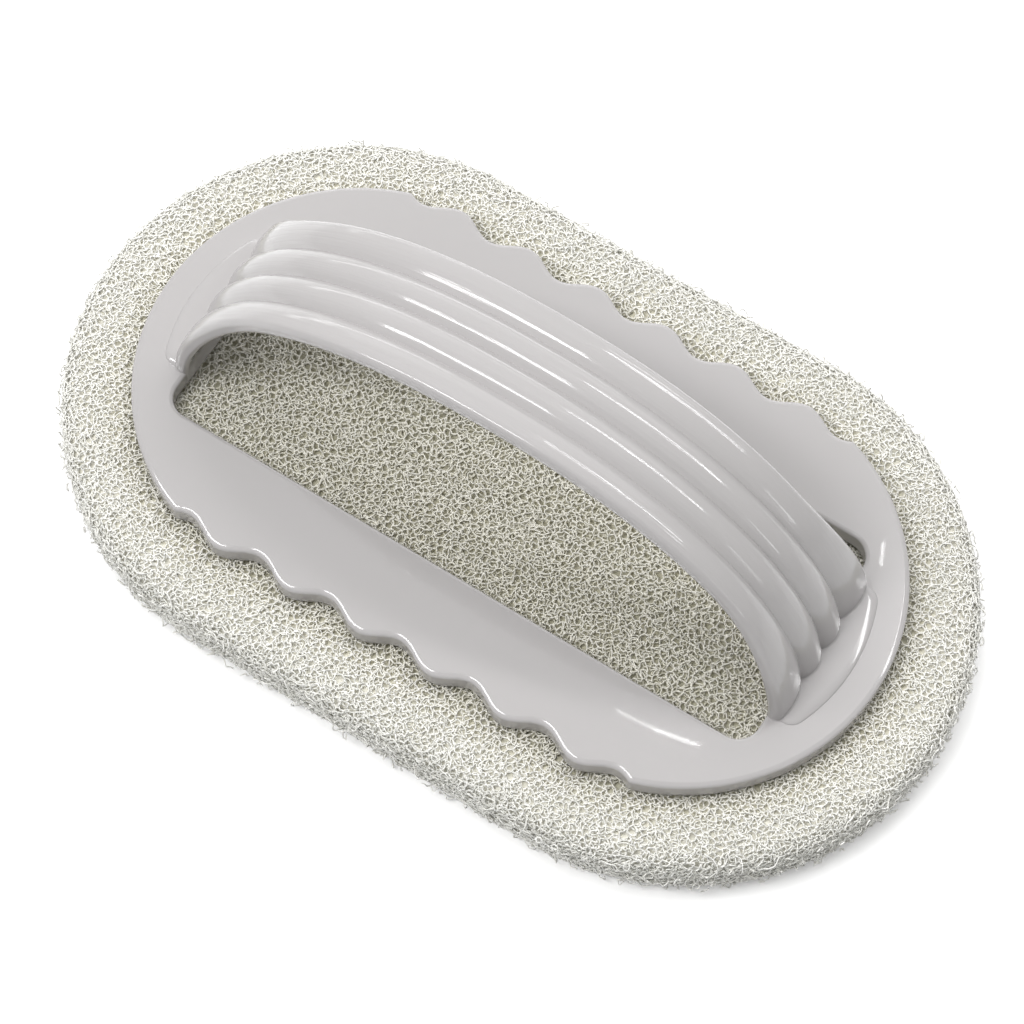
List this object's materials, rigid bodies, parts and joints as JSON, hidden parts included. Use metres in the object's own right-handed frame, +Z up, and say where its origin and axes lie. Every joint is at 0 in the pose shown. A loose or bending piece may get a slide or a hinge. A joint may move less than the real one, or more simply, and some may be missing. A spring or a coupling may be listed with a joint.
{
  "type": "handled scrub sponge",
  "caption": "Oblong curly-fibre scrub pad under a scalloped moulded plate with an arched, lobed grip over an open window; the pad peels off.",
  "frame": {"origin": "middle of the pad's underside, where the part rests", "axes": "+X along the length of the pad and the grip, +Y across the pad, +Z up through the grip"},
  "size_m": [0.15, 0.09, 0.0518],
  "materials": {
    "moulded_plastic": "glossy warm-grey injection-moulded plastic",
    "fibre_web": "off-white curly bonded nylon fibres",
    "hook_fabric": "pale woven hook tape"
  },
  "bodies": {
    "pad": {"scrub_pad": "fibre_web"},
    "handle": {"handle_moulding": "moulded_plastic", "hook_tape_left_side": "hook_fabric", "hook_tape_right_side": "hook_fabric", "hook_tape_front_end": "hook_fabric", "hook_tape_back_end": "hook_fabric"}
  },
  "joints": [
    {"name": "pad_release", "type": "slide", "parent": "pad", "child": "handle", "axis": [0, 0, 1], "range_m": [0, 0.04]}
  ]
}
